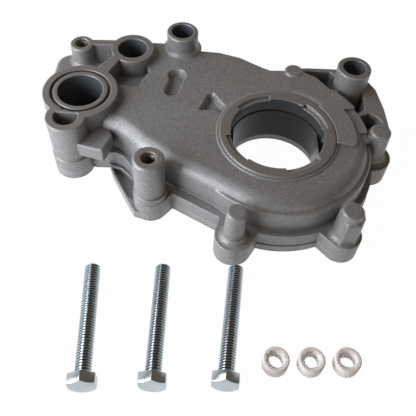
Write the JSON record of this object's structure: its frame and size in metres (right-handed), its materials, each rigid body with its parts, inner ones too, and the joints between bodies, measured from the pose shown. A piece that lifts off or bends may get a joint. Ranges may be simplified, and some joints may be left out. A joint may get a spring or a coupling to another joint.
{
  "type": "engine oil pump",
  "caption": "Crank-driven gerotor oil pump: cast body with ports and tall bolt bosses, rear cover, rotors, relief valve, loose mounting bolts and sleeves.",
  "frame": {"origin": "the crankshaft's axis in the plane of the rear mounting face", "axes": "+Z along the crankshaft out of the pump's front face, +X away from the ports along the pump's length"},
  "size_m": [0.2094, 0.2255, 0.046],
  "materials": {
    "cast_aluminium": "die cast, shot blasted",
    "machined_aluminium": "die cast, faces machined",
    "sintered_steel": "sintered, ground faces",
    "ground_steel": "ground",
    "spring_steel": "oiled wire",
    "zinc_plated_steel": "bright zinc plate",
    "black_steel": "black oxide",
    "white_nylon": "moulded"
  },
  "bodies": {
    "housing": {"pump_body": "cast_aluminium", "rear_cover": "machined_aluminium", "relief_plug": "zinc_plated_steel", "relief_spring": "spring_steel", "cover_screw_1": "black_steel", "cover_screw_2": "black_steel", "cover_screw_3": "black_steel", "cover_screw_4": "black_steel", "cover_screw_5": "black_steel", "cover_screw_6": "black_steel", "dowel_pin_1": "ground_steel", "dowel_pin_2": "ground_steel"},
    "outer_rotor_body": {"outer_rotor": "sintered_steel"},
    "inner_rotor_body": {"inner_rotor": "sintered_steel"},
    "plunger_body": {"relief_plunger": "ground_steel"},
    "mounting_bolt_1_body": {"mounting_bolt_1": "zinc_plated_steel"},
    "mounting_bolt_2_body": {"mounting_bolt_2": "zinc_plated_steel"},
    "mounting_bolt_3_body": {"mounting_bolt_3": "zinc_plated_steel"},
    "bolt_sleeve_1_body": {"bolt_sleeve_1": "white_nylon"},
    "bolt_sleeve_2_body": {"bolt_sleeve_2": "white_nylon"},
    "bolt_sleeve_3_body": {"bolt_sleeve_3": "white_nylon"}
  },
  "joints": [
    {"name": "outer_rotor_spin", "type": "hinge", "parent": "housing", "child": "outer_rotor_body", "pos_m": [0.0025, -0.001, 0.015], "axis": [0, 0, 1], "continuous": true},
    {"name": "inner_rotor_spin", "type": "hinge", "parent": "housing", "child": "inner_rotor_body", "pos_m": [0, 0, 0.015], "axis": [0, 0, 1], "continuous": true},
    {"name": "relief_plunger_slide", "type": "slide", "parent": "housing", "child": "plunger_body", "axis": [-1, 0, 0], "range_m": [0, 0.006], "stiffness_N_per_m": 4000, "springref_m": -0.004, "deforming": ["relief_spring"]},
    {"name": "mounting_bolt_1_lift", "type": "slide", "parent": "housing", "child": "mounting_bolt_1_body", "axis": [0, 0, 1], "range_m": [0, 0.06]},
    {"name": "mounting_bolt_2_lift", "type": "slide", "parent": "housing", "child": "mounting_bolt_2_body", "axis": [0, 0, 1], "range_m": [0, 0.06]},
    {"name": "mounting_bolt_3_lift", "type": "slide", "parent": "housing", "child": "mounting_bolt_3_body", "axis": [0, 0, 1], "range_m": [0, 0.06]},
    {"name": "bolt_sleeve_1_lift", "type": "slide", "parent": "housing", "child": "bolt_sleeve_1_body", "axis": [0, 0, 1], "range_m": [0, 0.06]},
    {"name": "bolt_sleeve_2_lift", "type": "slide", "parent": "housing", "child": "bolt_sleeve_2_body", "axis": [0, 0, 1], "range_m": [0, 0.06]},
    {"name": "bolt_sleeve_3_lift", "type": "slide", "parent": "housing", "child": "bolt_sleeve_3_body", "axis": [0, 0, 1], "range_m": [0, 0.06]}
  ],
  "couplings": [
    {"joint": "inner_rotor_spin", "follows": "outer_rotor_spin", "ratio": 1.1111}
  ]
}
